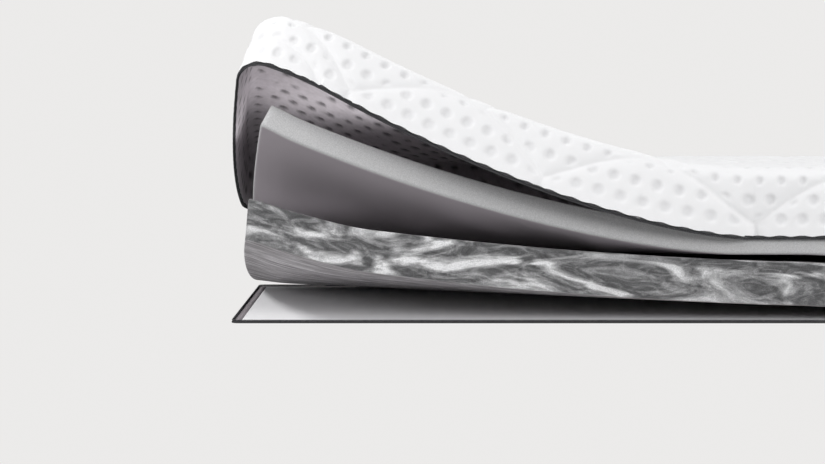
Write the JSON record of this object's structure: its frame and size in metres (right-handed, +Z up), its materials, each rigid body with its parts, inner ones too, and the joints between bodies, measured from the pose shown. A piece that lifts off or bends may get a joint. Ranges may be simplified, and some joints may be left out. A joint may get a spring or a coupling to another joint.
{
  "type": "memory foam mattress",
  "caption": "Single memory foam mattress with a zip-off quilted cover, opened from one corner to show its comfort foam, support core and base panel.",
  "frame": {"origin": "centre of the base panel's underside, on the surface it lies on", "axes": "+X towards the end where the cover is still zipped shut; the peeled free end is at -X; +Y towards the flat far side, so the corner that is peeled up most is at -X -Y; +Z up"},
  "size_m": [2.0488, 0.9519, 0.7004],
  "materials": {
    "under_fabric": "matt woven",
    "white_knit": "soft matt knit",
    "mauve_fabric": "matt non-woven",
    "dark_tape": "matt woven tape",
    "zip_coil": "satin",
    "zip_metal": "satin enamel",
    "core_foam": "marbled grey and white bonded foam",
    "comfort_foam": "matt fine-celled foam",
    "wadding": "matt fibre",
    "label": "satin, blank"
  },
  "bodies": {
    "base": {"base_fabric": "under_fabric", "base_facing": "white_knit", "base_border": "mauve_fabric", "base_binding": "dark_tape", "base_zip_tape": "dark_tape", "base_zip_coil": "zip_coil", "zip_stops": "zip_metal"},
    "core": {"support_core": "core_foam"},
    "comfort": {"comfort_layer": "comfort_foam"},
    "cover": {"cover_knit": "white_knit", "cover_wadding": "wadding", "cover_lining": "mauve_fabric", "cover_binding": "dark_tape", "cover_zip_tape": "dark_tape", "cover_zip_coil": "zip_coil", "care_label": "label"},
    "front_slider": {"front_slider": "zip_metal"},
    "front_pull": {"front_pull": "zip_metal"},
    "back_slider": {"back_slider": "zip_metal"},
    "back_pull": {"back_pull": "zip_metal"}
  },
  "joints": [
    {"name": "core_lift", "type": "hinge", "parent": "base", "child": "core", "pos_m": [1, 0, 0.0084], "axis": [0, 1, 0], "range_deg": [0, 25]},
    {"name": "comfort_lift", "type": "hinge", "parent": "core", "child": "comfort", "pos_m": [1, 0, 0.0084], "axis": [0, 1, 0], "range_deg": [0, 12]},
    {"name": "cover_open", "type": "hinge", "parent": "comfort", "child": "cover", "pos_m": [1, 0, 0.0084], "axis": [0, 1, 0], "range_deg": [0, 60]},
    {"name": "front_slider_run", "type": "slide", "parent": "base", "child": "front_slider", "axis": [1, 0, 0], "range_m": [-1.77, 0.05]},
    {"name": "front_pull_swing", "type": "hinge", "parent": "front_slider", "child": "front_pull", "pos_m": [0.8, -0.4536, 0.007], "axis": [0, 0, -1], "range_deg": [0, 180]},
    {"name": "back_slider_run", "type": "slide", "parent": "base", "child": "back_slider", "axis": [1, 0, 0], "range_m": [-1.77, 0.05]},
    {"name": "back_pull_swing", "type": "hinge", "parent": "back_slider", "child": "back_pull", "pos_m": [0.8, 0.4536, 0.007], "axis": [0, 0, 1], "range_deg": [0, 180]}
  ]
}
